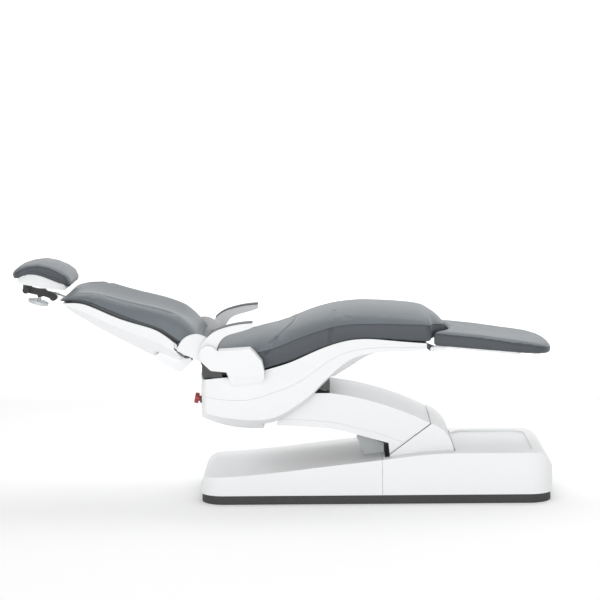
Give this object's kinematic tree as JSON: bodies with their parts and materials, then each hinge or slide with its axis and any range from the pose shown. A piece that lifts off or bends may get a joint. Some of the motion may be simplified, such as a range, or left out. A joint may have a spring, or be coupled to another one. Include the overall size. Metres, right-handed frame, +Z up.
{
  "type": "dental chair",
  "caption": "Powered dental patient chair with a parallelogram lift arm on a low floor base, reclining back, double-jointed headrest, folding footrest and swing-up armrests.",
  "frame": {"origin": "on the floor, at the centre of the base frame's anchor holes", "axes": "+X towards the foot end, +Z up, -Y the patient's right side"},
  "size_m": [2.005, 0.624, 0.887],
  "materials": {
    "white": "satin",
    "leather_grey": "satin",
    "pad_grey": "matte",
    "skirt_grey": "matte",
    "hood_grey": "matte",
    "frame_paint": "satin",
    "steel": "satin",
    "black_plastic": "matte",
    "stop_red": "gloss",
    "knob_clear": "satin"
  },
  "bodies": {
    "base": {"base_head_cover": "white", "base_foot_cover": "white", "base_skirt": "skirt_grey", "base_frame": "frame_paint", "levelling_screws": "steel", "lift_shaft": "steel", "link_pin_base": "steel", "base_hood": "hood_grey", "power_supply": "black_plastic", "control_box": "black_plastic", "power_inlet": "black_plastic", "rocker_bezel": "black_plastic", "cable_gland": "black_plastic", "lift_actuator": "frame_paint", "actuator_pin": "steel"},
    "rocker": {"power_rocker": "black_plastic"},
    "lift_rod": {"lift_rod": "steel"},
    "lift_arm": {"lift_arm_frame": "frame_paint", "carrier_shaft": "steel", "arm_cover": "white", "arm_lower_band": "white", "arm_root_cover": "white"},
    "level_link": {"level_link": "frame_paint"},
    "seat": {"seat_frame": "frame_paint", "seat_shell_upper": "white", "seat_shell_lower": "white", "seat_cushion": "leather_grey", "hip_cover": "leather_grey", "link_pin_seat": "steel", "crank_pin": "steel", "recline_pin_right": "steel", "recline_pin_left": "steel", "armrest_bracket_right": "white", "armrest_bracket_left": "white", "estop_collar": "black_plastic", "footrest_pins": "steel"},
    "estop": {"estop_button": "stop_red"},
    "armrest_right_arm": {"armrest_right": "white", "armrest_pad_right": "pad_grey"},
    "armrest_left_arm": {"armrest_left": "white", "armrest_pad_left": "pad_grey"},
    "backrest": {"backrest_frame": "white", "backrest_shell": "white", "backrest_cushion": "leather_grey", "hinge_cover_right": "white", "hinge_cover_left": "white", "back_actuator": "frame_paint", "back_actuator_pin": "steel", "headrest_guide": "black_plastic"},
    "back_rod_body": {"back_rod": "steel"},
    "headrest_slider": {"headrest_bar": "steel", "headrest_lower_knob": "black_plastic"},
    "headrest_link_body": {"headrest_link": "black_plastic"},
    "headrest_lock": {"headrest_lock_knob": "knob_clear"},
    "headrest": {"headrest_bracket": "frame_paint", "headrest_shell": "white", "headrest_cushion": "leather_grey", "headrest_upper_knob": "black_plastic"},
    "footrest_body": {"footrest_plate": "white", "footrest_board": "leather_grey"}
  },
  "joints": [
    {"name": "lift", "type": "hinge", "parent": "base", "child": "lift_arm", "pos_m": [0.161, 0, 0.171], "axis": [0, 1, 0], "range_deg": [-16, 26]},
    {"name": "seat_level", "type": "hinge", "parent": "lift_arm", "child": "seat", "pos_m": [-0.334, 0, 0.368], "axis": [0, 1, 0], "range_deg": [-26, 16]},
    {"name": "link_level", "type": "hinge", "parent": "base", "child": "level_link", "pos_m": [0.183, 0, 0.221], "axis": [0, 1, 0], "range_deg": [-16, 26]},
    {"name": "lift_ram", "type": "slide", "parent": "base", "child": "lift_rod", "axis": [-1, 0, 0], "range_m": [-0.02758, 0.0442]},
    {"name": "recline", "type": "hinge", "parent": "seat", "child": "backrest", "pos_m": [-0.609, 0, 0.569], "axis": [0, 1, 0], "range_deg": [-14, 50]},
    {"name": "back_ram", "type": "slide", "parent": "backrest", "child": "back_rod_body", "axis": [0.9063, 0, -0.4226], "range_m": [-0.01542, 0.05249]},
    {"name": "headrest_slide", "type": "slide", "parent": "backrest", "child": "headrest_slider", "axis": [-0.9285, 0, 0.3714], "range_m": [-0.01, 0.07]},
    {"name": "headrest_lower", "type": "hinge", "parent": "headrest_slider", "child": "headrest_link_body", "pos_m": [-1.201, 0, 0.75], "axis": [0, 1, 0], "range_deg": [-30, 2]},
    {"name": "headrest_upper", "type": "hinge", "parent": "headrest_link_body", "child": "headrest", "pos_m": [-1.303, 0, 0.777], "axis": [0, 1, 0], "range_deg": [-50, 1]},
    {"name": "headrest_lock", "type": "hinge", "parent": "headrest_link_body", "child": "headrest_lock", "pos_m": [-1.253, 0, 0.763], "axis": [-0.2559, 0, -0.9667], "range_deg": [0, 90]},
    {"name": "armrest_right_lift", "type": "hinge", "parent": "seat", "child": "armrest_right_arm", "pos_m": [-0.609, 0, 0.569], "axis": [0, 1, 0], "range_deg": [-100, 0]},
    {"name": "armrest_left_lift", "type": "hinge", "parent": "seat", "child": "armrest_left_arm", "pos_m": [-0.609, 0, 0.569], "axis": [0, 1, 0], "range_deg": [-100, 0]},
    {"name": "footrest", "type": "hinge", "parent": "seat", "child": "footrest_body", "pos_m": [0.21, 0, 0.564], "axis": [0, 1, 0], "range_deg": [0, 50]},
    {"name": "estop_press", "type": "slide", "parent": "seat", "child": "estop", "axis": [0.9816, 0, -0.1908], "range_m": [0, 0.004], "stiffness_N_per_m": 900},
    {"name": "rocker_tilt", "type": "hinge", "parent": "base", "child": "rocker", "pos_m": [0.4, 0.247, 0.078], "axis": [1, 0, 0], "range_deg": [0, 8]}
  ],
  "couplings": [
    {"joint": "seat_level", "follows": "lift", "ratio": -1},
    {"joint": "link_level", "follows": "lift", "ratio": 1},
    {"joint": "lift_ram", "follows": "lift", "m_per_rad": 0.0952},
    {"joint": "back_ram", "follows": "recline", "m_per_rad": 0.059}
  ]
}
